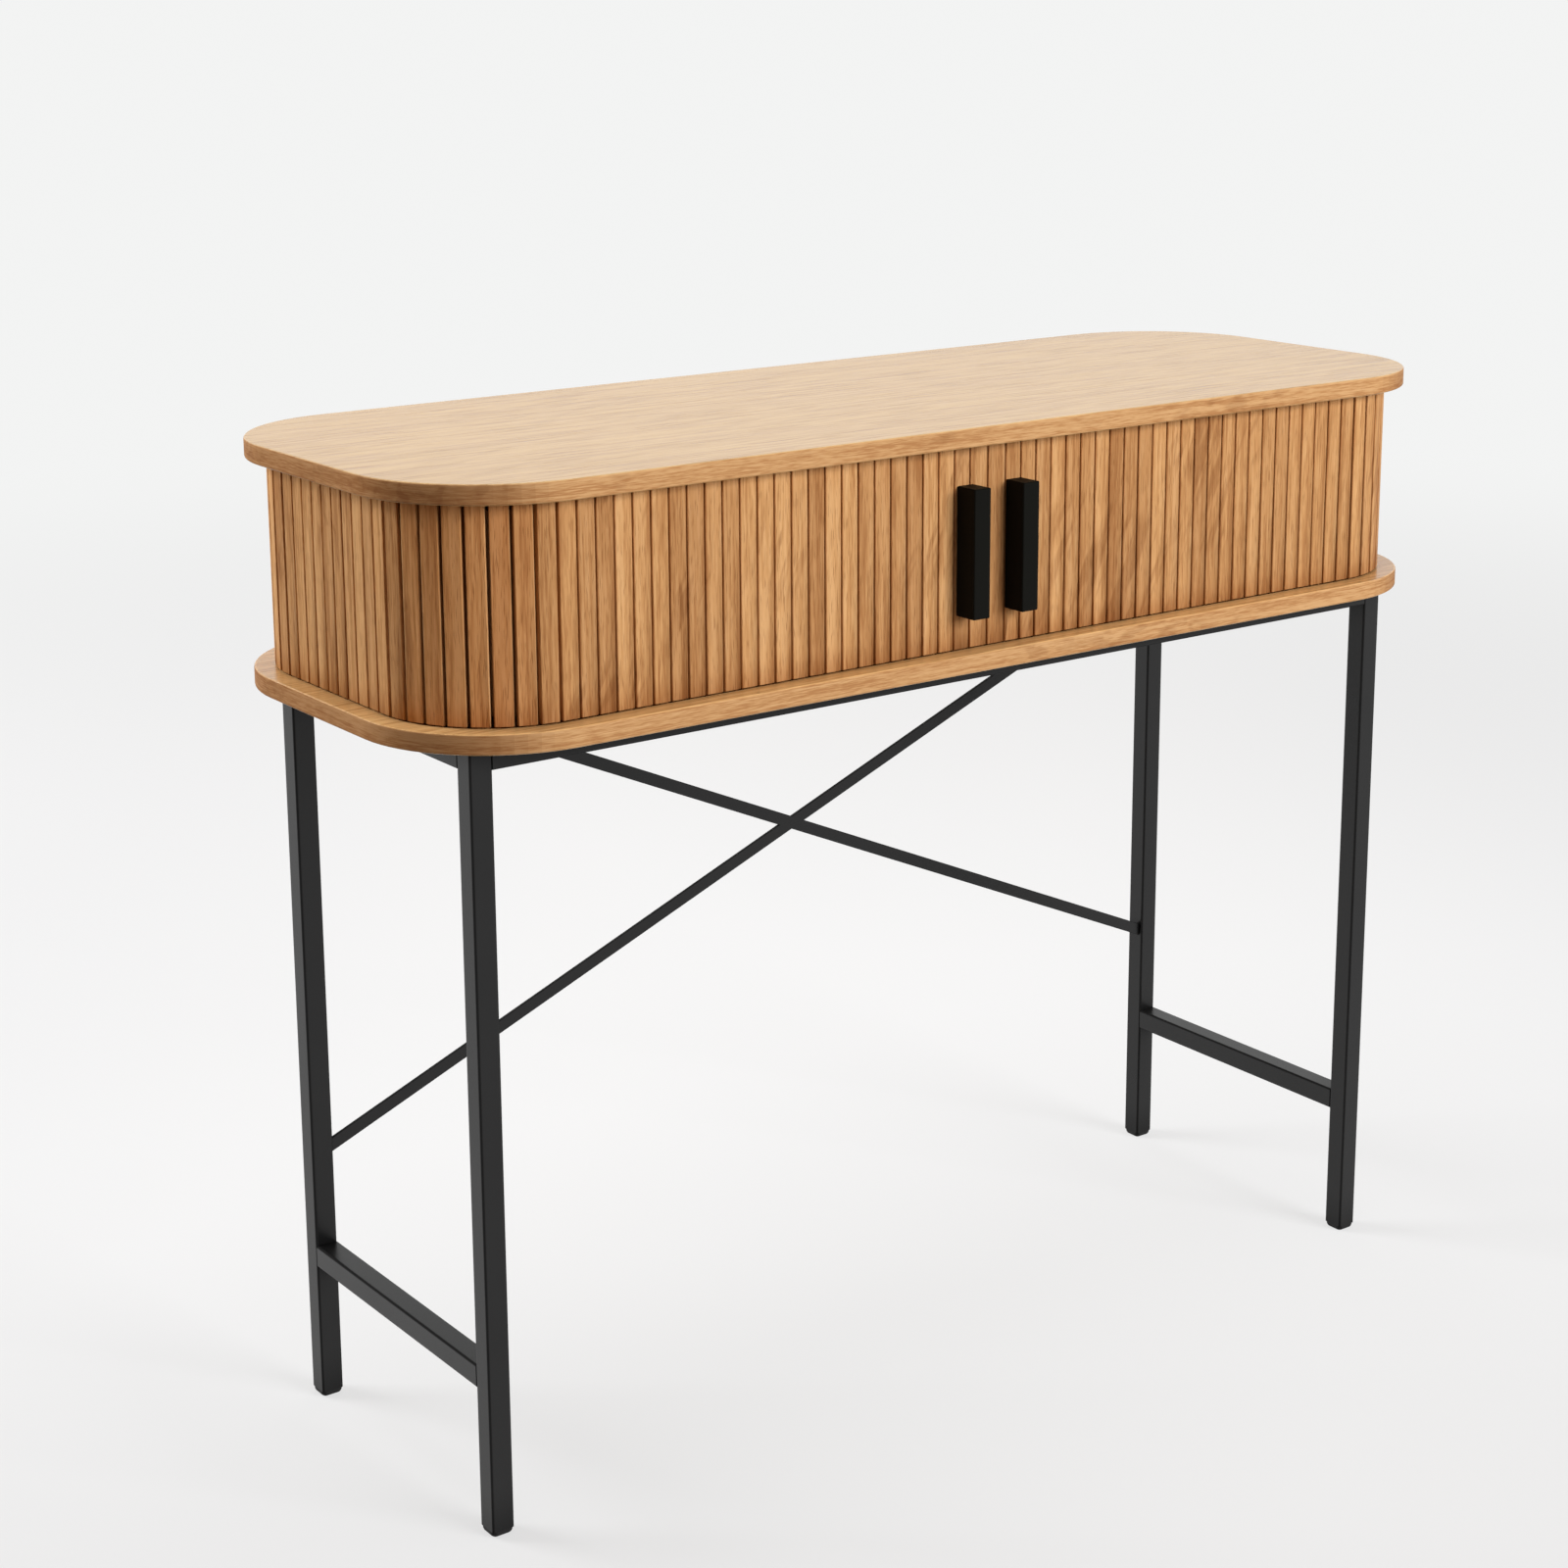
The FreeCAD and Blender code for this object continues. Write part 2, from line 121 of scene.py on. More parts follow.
# Oak grain: counts per metre along and across the fibres, and metres of height
grain_counts = (3.0, 130.0)
fibre_counts = (26.0, 520.0)
pore_counts = (75.0, 1250.0)
line_counts = (14.0, 330.0)
edge_grain_counts = (5.0, 260.0)
edge_fibre_counts = (70.0, 1100.0)
flame_counts = (14.0, 105.0)
flame_patches = 8.0
flame_slant = -22.0
grain_noise = {"detail": 3.0, "roughness": 0.55, "distortion": 0.4}
fibre_noise = {"detail": 2.0, "roughness": 0.65}
pore_noise = {"detail": 1.0}
edge_noise = {"detail": 3.0, "roughness": 0.6, "distortion": 0.6}
flame_noise = {"detail": 2.0, "distortion": 0.3}
patch_noise = {"detail": 1.0}
slat_shift = 61.0
panel_shift = (3.0, 5.0, 7.0)
oak_bump = 0.00012

# Oak blends: shares, and the noise levels or directions between which they rise
oak_stops = (0.4, 0.5, 0.6)
edge_stops = (0.42, 0.5, 0.58)
pore_rises = (0.56, 0.7)
flame_rises = (0.48, 0.62)
patch_rises = (0.47, 0.6)
face_normals = (0.55, 0.75)
end_normals = (0.1, 0.6)
round_normals = (0.05, 0.45)
corner_shade_normals = (0.78, 0.97)
face_grain_share = 0.4
slat_grain_share = 0.55
edge_grain_share = 0.5
pore_share = 0.45
face_flame_share = 0.06
edge_flame_share = 0.16
slat_flame_share = 0.22
panel_flame_share = 0.1
slat_tone_share = 0.22
# Painted shade on the boards' edge band, at its ends and round its corners
board_end_shade_share = 0.25
board_round_shade_share = 0.1
# Painted shade: the slats darken towards their lower ends
slat_foot_shade_share = 0.28
slat_foot_shade_height = 0.028

# Oak gloss: roughness between two levels of grain, and specular levels
gloss_stops = (0.35, 0.65)
face_roughness = (0.19, 0.25)
slat_roughness = (0.5, 0.62)
panel_roughness = (0.5, 0.6)
edge_roughness = 0.55
face_gloss = 0.5
edge_gloss = 0.04
slat_gloss = 0.05

# Dowels and screws: linear colours, counts per metre along and across them, and metres of height
fleck_noise = {"detail": 2.0, "roughness": 0.6}
beech = ((0.48, 0.3, 0.16), (0.68, 0.48, 0.29))
beech_counts = (130.0, 900.0)
beech_stops = (0.35, 0.65)
beech_roughness = (0.55, 0.7)
zinc = ((0.48, 0.48, 0.47), (0.68, 0.68, 0.66))
zinc_counts = (160.0, 2200.0)
zinc_roughness = (0.24, 0.4)
zinc_bump = 0.00003
fitting_stops = (0.3, 0.7)

# Canvas: linear colours, radians of weave per metre and metres of height
cotton = ((0.36, 0.17, 0.06), (0.58, 0.3, 0.12))
cotton_roughness = (0.95, 0.82)
weave_turn = 4200.0
weave_half_share = 0.5
weave_bump = 0.0002

# Powder coat and plastic: linear colours, counts per metre, metres and shares
coat_noise = {"detail": 3.0, "roughness": 0.6}
coat_clouds = 9.0
coat_stops = (0.3, 0.7)
coat_bump = 0.00006
corner_normals = (0.985, 0.9)
corner_roughness = 0.9
# Painted shade: the frame's gloss is dimmed in hollows found by ambient occlusion
hollow_reach = 0.06
hollow_samples = 8
hollow_stops = (0.35, 0.85)
hollow_shade_gloss_share = 0.3
steel_coat = {
    "colours": ((0.0055, 0.0055, 0.0057), (0.0078, 0.0078, 0.008)),
    "roughness": (0.27, 0.34),
    "gloss": 0.345,
    "count": 1400.0,
}
handle_coat = {
    "colours": ((0.0048, 0.0047, 0.0038), (0.0062, 0.0061, 0.0051)),
    "roughness": (0.5, 0.6),
    "gloss": 0.05,
    "count": 1800.0,
}
cap_coat = {
    "colours": ((0.007, 0.007, 0.007), (0.01, 0.01, 0.01)),
    "roughness": (0.55, 0.7),
    "gloss": 0.3,
    "count": 2400.0,
}

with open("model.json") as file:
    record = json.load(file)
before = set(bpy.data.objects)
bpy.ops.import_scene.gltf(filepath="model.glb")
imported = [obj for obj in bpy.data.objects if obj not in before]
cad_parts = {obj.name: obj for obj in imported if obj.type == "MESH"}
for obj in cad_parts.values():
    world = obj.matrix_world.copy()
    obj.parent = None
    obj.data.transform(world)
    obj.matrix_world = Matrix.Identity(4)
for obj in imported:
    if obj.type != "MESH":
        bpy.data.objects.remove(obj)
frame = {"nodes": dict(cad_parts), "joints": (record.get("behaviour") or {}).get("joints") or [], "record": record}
cad_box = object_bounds()


class Graph:
    """A material's node tree, with short calls that add and join nodes."""

    def __init__(self, tree):
        self.tree = tree

    def add(self, kind, **settings):
        node = self.tree.nodes.new(kind)
        for name, value in settings.items():
            setattr(node, name, value)
        return node

    def put(self, socket, value):
        """Joins a socket to a socket, or sets it to a plain value."""
        if isinstance(value, bpy.types.NodeSocket):
            self.tree.links.new(value, socket)
        else:
            socket.default_value = value

    def attribute(self, name, output):
        return self.add("ShaderNodeAttribute", attribute_name=name).outputs[output]

    def place(self):
        return self.add("ShaderNodeTexCoord").outputs["Object"]

    def normal(self):
        return self.add("ShaderNodeNewGeometry").outputs["True Normal"]

    def split(self, vector):
        node = self.add("ShaderNodeSeparateXYZ")
        self.put(node.inputs[0], vector)
        return node.outputs

    def stretched(self, vector, scale, shift=(0, 0, 0)):
        node = self.add("ShaderNodeVectorMath", operation="MULTIPLY_ADD")
        self.put(node.inputs[0], vector)
        self.put(node.inputs[1], scale)
        self.put(node.inputs[2], shift)
        return node.outputs[0]

    def dot(self, vector, direction):
        node = self.add("ShaderNodeVectorMath", operation="DOT_PRODUCT")
        self.put(node.inputs[0], vector)
        self.put(node.inputs[1], direction)
        return node.outputs["Value"]

    def noise(self, vector, detail=2.0, roughness=0.5, distortion=0.0):
        node = self.add("ShaderNodeTexNoise")
        self.put(node.inputs["Vector"], vector)
        self.put(node.inputs["Scale"], 1.0)
        self.put(node.inputs["Detail"], detail)
        self.put(node.inputs["Roughness"], roughness)
        self.put(node.inputs["Distortion"], distortion)
        return node.outputs["Fac"]

    def ramp(self, factor, positions, levels):
        """A colour ramp through levels at positions, where a plain number is a grey."""
        node = self.add("ShaderNodeValToRGB")
        elements = node.color_ramp.elements
        while len(elements) < len(positions):
            elements.new(1.0)
        for element, position, level in zip(elements, positions, levels):
            element.position = position
            element.color = (*(level if isinstance(level, tuple) else even(level)), 1.0)
        self.put(node.inputs["Fac"], factor)
        return node.outputs["Color"]

    def mix(self, factor, first, second, blend="MIX"):
        node = self.add("ShaderNodeMix", data_type="RGBA", blend_type=blend)
        self.put(node.inputs[0], factor)
        for socket, value in ((node.inputs[6], first), (node.inputs[7], second)):
            self.put(socket, (*value, 1.0) if isinstance(value, tuple) else value)
        return node.outputs[2]

    def tinted(self, amount, colour, tint):
        """A colour that is multiplied by a tint where the amount is 1."""
        return self.mix(amount, colour, self.mix(1.0, colour, tint, "MULTIPLY"))

    def math(self, operation, first, second=0.0, third=0.0):
        node = self.add("ShaderNodeMath", operation=operation)
        for socket, value in zip(node.inputs, (first, second, third)):
            self.put(socket, value)
        return node.outputs[0]

    def blend(self, first, second, first_share):
        """A sum of two values by their shares."""
        return self.math("MULTIPLY_ADD", first, first_share, self.math("MULTIPLY", second, 1.0 - first_share))

    def between(self, value, low, high):
        """0 at low, 1 at high and smooth between them."""
        node = self.add("ShaderNodeMapRange", interpolation_type="SMOOTHSTEP")
        self.put(node.inputs["Value"], value)
        self.put(node.inputs["From Min"], low)
        self.put(node.inputs["From Max"], high)
        return node.outputs["Result"]

    def bump(self, height, distance):
        node = self.add("ShaderNodeBump")
        self.put(node.inputs["Height"], height)
        self.put(node.inputs["Distance"], distance)
        self.put(node.inputs["Strength"], 1.0)
        return node.outputs["Normal"]


def even(value):
    """The same value three times: a grey, or one count on all axes."""
    return value, value, value


def along_axis(counts, axis):
    """A scale with the count along the fibres on one axis and the count across them on the others."""
    return tuple(counts[0] if each == axis else counts[1] for each in range(3))


def across_axis(counts, axis):
    """A scale with the count across the fibres on one axis and the count along them on the others."""
    return along_axis(counts[::-1], axis)


def new_material(name):
    material = bpy.data.materials.new(name)
    material.use_nodes = True
    graph = Graph(material.node_tree)
    return material, graph, material.node_tree.nodes["Principled BSDF"].inputs


def oak_layers(graph, vector, shift, axis, colours, pore_colour, pore_sizes, grain_share):
    """Colour, height and grain of oak whose fibres run along one axis, with flecks and dark pores."""
    grain = graph.noise(graph.stretched(vector, along_axis(grain_counts, axis), shift), **grain_noise)
    fibre = graph.noise(graph.stretched(vector, along_axis(fibre_counts, axis), shift), **fibre_noise)
    pores = graph.noise(graph.stretched(vector, along_axis(pore_sizes, axis), shift), **pore_noise)
    blend = graph.blend(grain, fibre, grain_share)
    colour = graph.ramp(blend, oak_stops, colours)
    pore = graph.between(pores, *pore_rises)
    colour = graph.mix(graph.math("MULTIPLY", pore, pore_share), colour, pore_colour)
    return colour, graph.math("SUBTRACT", fibre, pore), blend


def flames(graph, vector, axis):
    """Slanting darker flames that come and go in patches: 0 is plain wood, 1 the middle of a flame."""
    turn = graph.add("ShaderNodeVectorRotate", rotation_type="EULER_XYZ")
    graph.put(turn.inputs["Vector"], vector)
    slant = math.radians(flame_slant)
    graph.put(turn.inputs["Rotation"], (0, slant, 0) if axis == 2 else (0, 0, slant))
    wave = graph.noise(graph.stretched(turn.outputs[0], along_axis(flame_counts, axis)), **flame_noise)
    patch = graph.noise(graph.stretched(vector, even(flame_patches)), **patch_noise)
    return graph.math("MULTIPLY", graph.between(wave, *flame_rises), graph.between(patch, *patch_rises))


def darkened(graph, colour, amount, share):
    """A colour that loses a share of its light, most of it green and blue, where the amount is 1."""
    return graph.tinted(amount, colour, tuple(1.0 - share * hue_share for hue_share in shade_hue_shares))


def board_sides(graph):
    """1 on a board's faces, 1 on the edge at its ends and 1 on the edge round a corner; shade is painted on the
    ends and corners.
    """
    x, y, z = graph.split(graph.normal())
    across = graph.math("ABSOLUTE", graph.math("MULTIPLY", x, y))
    face = graph.between(graph.math("ABSOLUTE", z), *face_normals)
    end = graph.between(graph.math("ABSOLUTE", x), *end_normals)
    return face, end, graph.between(across, *round_normals)


def lower_board(graph, place):
    """1 on the lower board, whose faces get painted light, and 0 on the worktop."""
    height = graph.dot(place, (0, 0, 1))
    return graph.between(height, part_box("top_board")[0].z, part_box("lower_board")[1].z)


def board_face(graph, place, flame):
    """Colour, height and grain of a board's faces, with painted light that makes the lower board's faces lighter.
    """
    colour, height, blend = oak_layers(
        graph, place, (0, 0, 0), 0, face_oak, face_pore_oak, line_counts, face_grain_share)
    colour = darkened(graph, colour, flame, face_flame_share)
    return graph.tinted(lower_board(graph, place), colour, ledge_painted_light), height, blend


def board_edge(graph, place, flame, end, corner):
    """Colour and height of a board's edge band, with painted shade at its ends and round its corners."""
    grain = graph.noise(graph.stretched(place, across_axis(edge_grain_counts, 2)), **edge_noise)
    fibre = graph.noise(graph.stretched(place, across_axis(edge_fibre_counts, 2)), **fibre_noise)
    colour = graph.ramp(graph.blend(grain, fibre, edge_grain_share), edge_stops, edge_oak)
    colour = darkened(graph, colour, flame, edge_flame_share)
    colour = darkened(graph, colour, end, board_end_shade_share)
    return darkened(graph, colour, corner, board_round_shade_share), fibre


def oak_board_material():
    """Veneered board: fibres along X on its faces, and an edge band whose fibres run round it."""
    material, graph, shader = new_material("oak_board_looks")
    place = graph.place()
    flame = flames(graph, place, 0)
    face, end, corner = board_sides(graph)
    face_colour, face_height, face_blend = board_face(graph, place, flame)
    edge_colour, edge_height = board_edge(graph, place, flame, end, corner)
    smooth = graph.ramp(face_blend, gloss_stops, face_roughness)
    graph.put(shader["Base Color"], graph.mix(face, edge_colour, face_colour))
    graph.put(shader["Normal"], graph.bump(graph.mix(face, edge_height, face_height), oak_bump))
    graph.put(shader["Roughness"], graph.mix(face, even(edge_roughness), smooth))
    graph.put(shader["Specular IOR Level"], graph.ramp(face, (0.0, 1.0), (edge_gloss, face_gloss)))
    return material


def front_left_shade(graph):
    """1 where the surface faces out of the desk's front left corner, where a warm painted shade darkens the slats.
    """
    outwards = Vector((-1, -1, 0)).normalized()
    return graph.between(graph.dot(graph.normal(), outwards), *corner_shade_normals)


def painted_foot_shade(graph, rest):
    """1 at the lower ends of the slats, fading out upwards: painted shade where they meet the lower board."""
    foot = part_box("left_side_slats")[0].z
    return graph.between(graph.dot(rest, (0, 0, 1)), foot + slat_foot_shade_height, foot)


def oak_slat_material():
    """Slats: upright fibres, a tone of its own for each slat, flames that run on across them, painted shade at
    their feet and a warm painted shade on the front left corner.
    """
    material, graph, shader = new_material("oak_slat_looks")
    rest = graph.attribute("rest", "Vector")
    tone = graph.attribute("tone", "Fac")
    shift = graph.add("ShaderNodeCombineXYZ")
    for socket in shift.inputs:
        graph.put(socket, graph.math("MULTIPLY", tone, slat_shift))
    colour, height, blend = oak_layers(
        graph, rest, shift.outputs[0], 2, slat_oak, pore_oak, pore_counts, slat_grain_share)
    colour = darkened(graph, colour, flames(graph, rest, 2), slat_flame_share)
    colour = darkened(graph, colour, graph.between(tone, 1.0, 0.0), slat_tone_share)
    # Painted shade at the slats' lower ends
    colour = darkened(graph, colour, painted_foot_shade(graph, rest), slat_foot_shade_share)
    # Painted shade: warm darkening where the slats face out of the front left corner
    graph.put(shader["Base Color"], graph.tinted(front_left_shade(graph), colour, corner_shade_tint))
    graph.put(shader["Normal"], graph.bump(height, oak_bump))
    graph.put(shader["Roughness"], graph.ramp(blend, gloss_stops, slat_roughness))
    shader["Specular IOR Level"].default_value = slat_gloss
    return material


def oak_panel_material():
    """Inner panels: quieter veneer with upright fibres."""
    material, graph, shader = new_material("oak_panel_looks")
    place = graph.place()
    colour, height, blend = oak_layers(
        graph, place, panel_shift, 2, panel_oak, pore_oak, pore_counts, slat_grain_share)
    graph.put(shader["Base Color"], darkened(graph, colour, flames(graph, place, 2), panel_flame_share))
    graph.put(shader["Normal"], graph.bump(height, oak_bump))
    graph.put(shader["Roughness"], graph.ramp(blend, gloss_stops, panel_roughness))
    return material


def dowel_material():
    """Plain beech with short flecks."""
    material, graph, shader = new_material("dowel_looks")
    flecks = graph.noise(graph.stretched(graph.place(), along_axis(beech_counts, 2)), **fleck_noise)
    graph.put(shader["Base Color"], graph.ramp(flecks, beech_stops, beech))
    graph.put(shader["Normal"], graph.bump(flecks, oak_bump))
    graph.put(shader["Roughness"], graph.ramp(flecks, fitting_stops, beech_roughness))
    return material


def screw_material():
    """Bright zinc with fine scratches."""
    material, graph, shader = new_material("zinc_looks")
    scratch = graph.noise(graph.stretched(graph.place(), along_axis(zinc_counts, 2)), **fleck_noise)
    graph.put(shader["Base Color"], graph.ramp(scratch, fitting_stops, zinc))
    graph.put(shader["Normal"], graph.bump(scratch, zinc_bump))
    graph.put(shader["Roughness"], graph.ramp(scratch, fitting_stops, zinc_roughness))
    shader["Metallic"].default_value = 1.0
    return material


def canvas_material():
    """Tan woven cotton: warp and weft threads that cross."""
    material, graph, shader = new_material("canvas_looks")
    x, y, z = graph.split(graph.attribute("rest", "Vector"))
    warp = graph.math("SINE", graph.math("MULTIPLY", graph.math("ADD", x, y), weave_turn))
    weft = graph.math("SINE", graph.math("MULTIPLY", z, weave_turn))
    crossing = graph.math("MULTIPLY", warp, weft)
    weave = graph.math("MULTIPLY_ADD", crossing, weave_half_share, weave_half_share)
    graph.put(shader["Base Color"], graph.ramp(weave, (0.0, 1.0), cotton))
    graph.put(shader["Normal"], graph.bump(weave, weave_bump))
    graph.put(shader["Roughness"], graph.ramp(weave, (0.0, 1.0), cotton_roughness))
    return material


def tube_corner(graph):
    """1 on a rounded corner, where the normal leans away from all three axes."""
    along = [graph.math("ABSOLUTE", part) for part in graph.split(graph.normal())]
    steepest = graph.math("MAXIMUM", graph.math("MAXIMUM", along[0], along[1]), along[2])
    return graph.between(steepest, *corner_normals)


def coat_material(name, colours, roughness, gloss, count):
    """A fine orange-peel skin whose gloss varies a little and is dull on rounded corners."""
    material, graph, shader = new_material(name)
    place = graph.place()
    peel = graph.noise(graph.stretched(place, even(count)))
    cloud = graph.noise(graph.stretched(place, even(coat_clouds)), **coat_noise)
    face = graph.ramp(cloud, coat_stops, roughness)
    graph.put(shader["Base Color"], graph.ramp(cloud, coat_stops, colours))
    graph.put(shader["Normal"], graph.bump(peel, coat_bump))
    graph.put(shader["Roughness"], graph.mix(tube_corner(graph), face, even(corner_roughness)))
    shader["Specular IOR Level"].default_value = gloss
    return material, graph, shader


def steel_material():
    """Powder coat of the frame, with painted shade on its reflections: the gloss is dimmed in hollows, where tubes
    meet and under the boards.
    """
    material, graph, shader = coat_material("steel_looks", **steel_coat)
    hollow = graph.add("ShaderNodeAmbientOcclusion", samples=hollow_samples)
    graph.put(hollow.inputs["Distance"], hollow_reach)
    gloss = steel_coat["gloss"]
    levels = (gloss * hollow_shade_gloss_share, gloss)
    graph.put(shader["Specular IOR Level"], graph.ramp(hollow.outputs["AO"], hollow_stops, levels))
    return material


def handle_material():
    """Deep black powder coat of the handles."""
    return coat_material("handle_looks", **handle_coat)[0]


def cap_material():
    """Black moulded plastic of the foot caps."""
    return coat_material("cap_looks", **cap_coat)[0]


def islands(mesh):
    """The separate solids of a mesh, as lists of vertices."""
    left = set(mesh.verts)
    while left:
        found = {left.pop()}
        front = list(found)
        while front:
            for edge in front.pop().link_edges:
                for vertex in edge.verts:
                    if vertex in left:
                        left.discard(vertex)
                        found.add(vertex)
                        front.append(vertex)
        yield sorted(found, key=lambda vertex: vertex.index)


def copied_piece(node, name, body, slot, material, chance):
    """A piece with a node's shape, where each solid has a tone and each point keeps its place at rest."""
    mesh = bmesh.new()
    mesh.from_mesh(frame["nodes"][node].data)
    bmesh.ops.remove_doubles(mesh, verts=mesh.verts, dist=merge_distance)
    mesh.verts.index_update()
    tone = mesh.verts.layers.float.new("tone")
    rest = mesh.verts.layers.float_vector.new("rest")
    ordered = sorted(islands(mesh), key=lambda solid: solid[0].index)
    for solid in ordered:
        value = chance.random()
        for vertex in solid:
            vertex[tone] = value
            vertex[rest] = vertex.co
    for face in mesh.faces:
        face.smooth = True
    data = bpy.data.meshes.new(name)
    mesh.to_mesh(data)
    mesh.free()
    data.set_sharp_from_angle(angle=math.radians(smooth_angle))
    data.materials.clear()
    data.materials.append(material)
    piece = bpy.data.objects.new(name, data)
    bpy.context.scene.collection.objects.link(piece)
    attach(piece, body)
    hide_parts(node)
    return piece


def body_of_node():
    groups = frame["record"]["behaviour"]["bodies"]
    return {node: body for body, nodes in groups.items() for node in nodes}


def glued_slats(canvas):
    """Slat pieces that a canvas is glued to."""
    stem = canvas.removesuffix("canvas")
    if stem.endswith("fixed_"):
        side = stem.removesuffix("fixed_")
        return [side + name + "_slats_looks" for name in ("front_corner", "side", "rear_corner")]
    if stem.endswith("door_"):
        return [stem + name + "_slat_looks" for name in ("lead", "handle")]
    return [stem + "slats_looks"]


def curtain_pieces(slat_looks, canvas_looks):
    """Slats and canvas of both curtains. Those between a door and its corner get a mesh of their own."""
    chance = random.Random(slat_seed)
    bodies = body_of_node()
    for joint in frame["joints"]:
        side = joint["child"].split("_")[0]
        shrinking = [entry["node"] for entry in joint["deforming_nodes"]]
        for node in sorted(name for name in bodies if name.startswith(side)):
            if "slat" not in node and "canvas" not in node:
                continue
            slot, looks = ("canvas", canvas_looks) if "canvas" in node else ("oak_slat", slat_looks)
            piece = copied_piece(node, node + "_looks", bodies[node], slot, looks, chance)
            if slot == "canvas":
                declare_canvas(node)
            if node in shrinking:
                shrink(piece)


def declare_canvas(node):
    """Reads a canvas's box and the slats glued to it, but keeps neither."""
    low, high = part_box(node)
    glued_slats(node)


def shrink(piece):
    """Gives a front piece a mesh of its own."""
    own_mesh(piece)


def dress_nodes(looks):
    """Gives each shown CAD node the material of its slot in the record."""
    for entry in frame["record"]["subparts"]:
        materials = frame["nodes"][entry["node"]].data.materials
        materials.clear()
        materials.append(looks[entry["material_slot"]])


def seen_rays(graph):
    """1 for rays from the camera and for those that a gloss or glass sends on."""
    path = graph.add("ShaderNodeLightPath").outputs
    seen = graph.math("MAXIMUM", path["Is Camera Ray"], path["Is Glossy Ray"])
    return graph.math("MAXIMUM", seen, path["Is Transmission Ray"])


def floor_shade(graph, place):
    """Glow of the floor: lighter behind the desk than before it, and a little darker to both sides."""
    heading = math.radians(camera_heading)
    along = graph.dot(place, (math.sin(heading), math.cos(heading), 0))
    beside = graph.dot(place, (math.cos(heading), -math.sin(heading), 0))
    distances, levels = zip(*floor_shades)
    first, last = distances[0], distances[-1]
    share = graph.add("ShaderNodeMapRange")
    graph.put(share.inputs["Value"], along)
    graph.put(share.inputs["From Min"], first)
    graph.put(share.inputs["From Max"], last)
    positions = [(distance - first) / (last - first) for distance in distances]
    middle = graph.ramp(share.outputs["Result"], positions, levels)
    side = graph.between(graph.math("ABSOLUTE", beside), *floor_sides)
    return graph.tinted(side, middle, floor_side_shade)


def floor_material():
    """Pale floor: it glows so that shadows stay faint, and runs into the backdrop far off."""
    material = bpy.data.materials.new("floor_looks")
    material.use_nodes = True
    tree = material.node_tree
    tree.nodes.clear()
    graph = Graph(tree)
    place = graph.place()
    length = graph.add("ShaderNodeVectorMath", operation="LENGTH")
    graph.put(length.inputs[0], place)
    far = graph.between(length.outputs["Value"], floor_near, floor_far)
    share = graph.math("MULTIPLY_ADD", far, 1.0 - floor_glow_share, floor_glow_share)
    seen = seen_rays(graph)
    share = graph.math("MULTIPLY", share, seen)
    soft = graph.add("ShaderNodeBsdfDiffuse")
    graph.put(soft.inputs["Color"], graph.mix(seen, floor_colour, floor_seen_colour))
    glow = graph.add("ShaderNodeEmission")
    graph.put(glow.inputs["Color"], graph.mix(far, floor_shade(graph, place), pale))
    both = graph.add("ShaderNodeMixShader")
    graph.put(both.inputs[0], share)
    graph.put(both.inputs[1], soft.outputs[0])
    graph.put(both.inputs[2], glow.outputs[0])
    output = graph.add("ShaderNodeOutputMaterial")
    graph.put(output.inputs["Surface"], both.outputs[0])
    return material


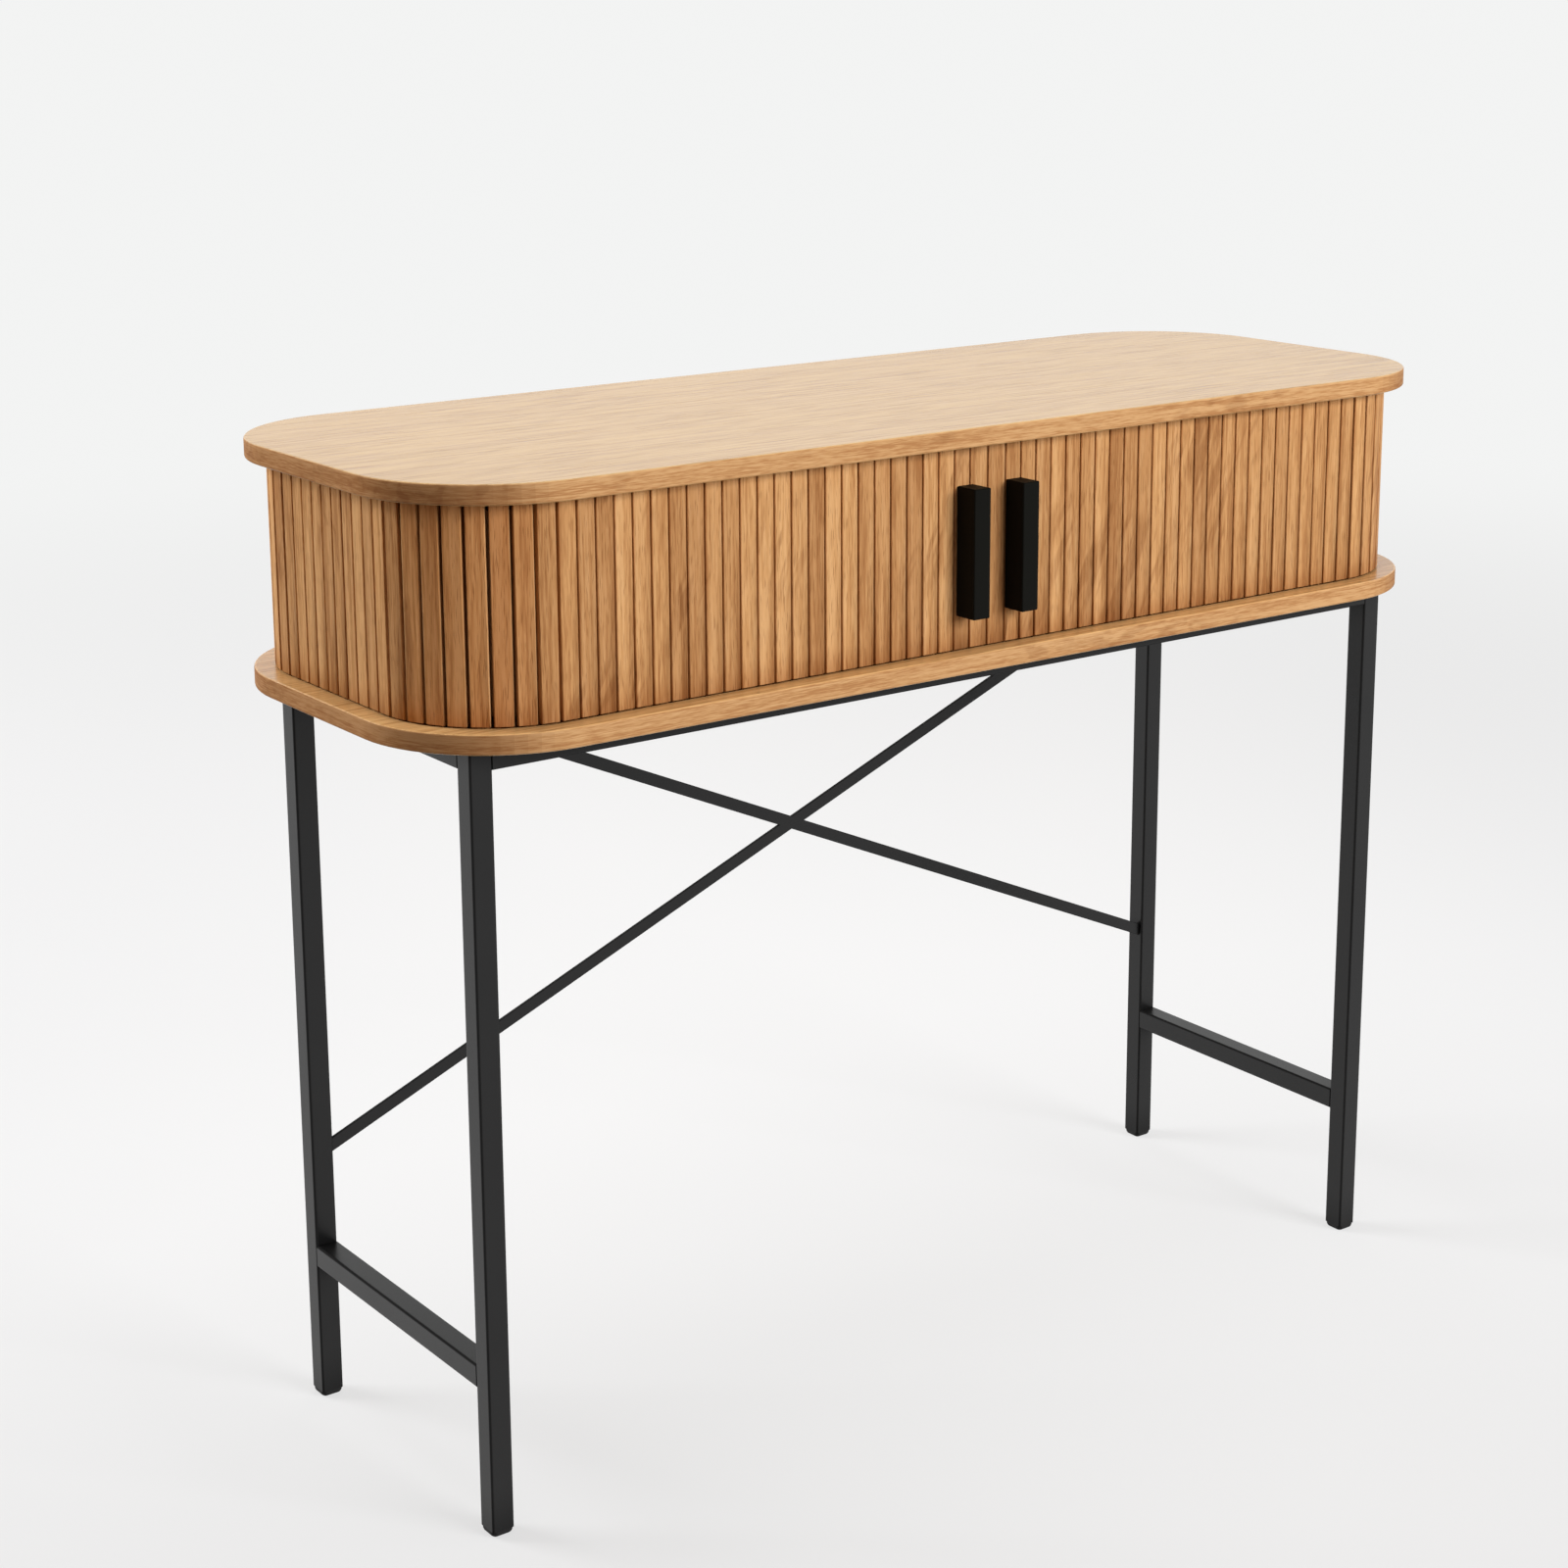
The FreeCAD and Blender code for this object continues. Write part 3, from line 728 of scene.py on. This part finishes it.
def make_floor():
    corners = [
        (-floor_reach, -floor_reach, 0),
        (floor_reach, -floor_reach, 0),
        (floor_reach, floor_reach, 0),
        (-floor_reach, floor_reach, 0),
    ]
    data = bpy.data.meshes.new("floor")
    data.from_pydata(corners, [], [(0, 1, 2, 3)])
    data.materials.append(floor_material())
    floor = bpy.data.objects.new("floor", data)
    bpy.context.scene.collection.objects.link(floor)
    floor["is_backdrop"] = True


def make_world():
    """A pale backdrop under a dimmer ceiling, as reflections see it, and a lower even light for the rest."""
    world = bpy.data.worlds.new("studio")
    bpy.context.scene.world = world
    world.use_nodes = True
    world.node_tree.nodes.clear()
    graph = Graph(world.node_tree)
    background = graph.add("ShaderNodeBackground")
    direction = graph.split(graph.add("ShaderNodeTexCoord").outputs["Generated"])
    backdrop = graph.mix(graph.between(direction["Z"], *ceiling_rises), pale, ceiling_shade)
    graph.put(background.inputs["Color"], graph.mix(seen_rays(graph), fill_light, backdrop))
    output = graph.add("ShaderNodeOutputWorld")
    graph.put(output.inputs["Surface"], background.outputs[0])


def make_lamp(name, place, aim, size, watts):
    """A softbox that reflections don't show, so that no sheen on the boards burns out."""
    light = bpy.data.lights.new(name, "AREA")
    light.shape = "RECTANGLE"
    light.size, light.size_y = size
    light.energy = watts
    lamp = bpy.data.objects.new(name, light)
    lamp.location = place
    lamp.rotation_mode = "QUATERNION"
    lamp.rotation_quaternion = (Vector(aim) - Vector(place)).to_track_quat("-Z", "Y")
    lamp.visible_glossy = False
    bpy.context.scene.collection.objects.link(lamp)


def make_camera():
    data = bpy.data.cameras.new("camera")
    data.sensor_width = sensor_width
    data.lens = focal_pixels / picture_pixels * sensor_width
    data.shift_y = axis_row / picture_pixels - 1 / 2
    camera = bpy.data.objects.new("camera", data)
    heading, dip = math.radians(camera_heading), math.radians(camera_dip)
    forward = Vector((math.sin(heading) * math.cos(dip), math.cos(heading) * math.cos(dip), -math.sin(dip)))
    roll = Quaternion((0, 0, 1), math.radians(camera_roll))
    camera.rotation_mode = "QUATERNION"
    camera.rotation_quaternion = forward.to_track_quat("-Z", "Y") @ roll
    camera.location = camera_place
    bpy.context.scene.collection.objects.link(camera)
    bpy.context.scene.camera = camera


def write_sizes():
    boxes = {"cad": cad_box, "visual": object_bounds()}
    {name: [list(corner) for corner in box] for name, box in boxes.items()}


slat_looks = oak_slat_material()
canvas_looks = canvas_material()
dress_nodes({
    "oak_board": oak_board_material(),
    "oak_slat": slat_looks,
    "oak_panel": oak_panel_material(),
    "dowel_wood": dowel_material(),
    "canvas": canvas_looks,
    "black_steel": steel_material(),
    "black_handle": handle_material(),
    "black_plastic": cap_material(),
    "zinc_screw": screw_material(),
})
curtain_pieces(slat_looks, canvas_looks)
make_floor()
make_world()
for lamp_name, lamp_values in lamps.items():
    make_lamp(lamp_name, **lamp_values)
make_camera()
bpy.context.scene.view_settings.view_transform = "Standard"
write_sizes()
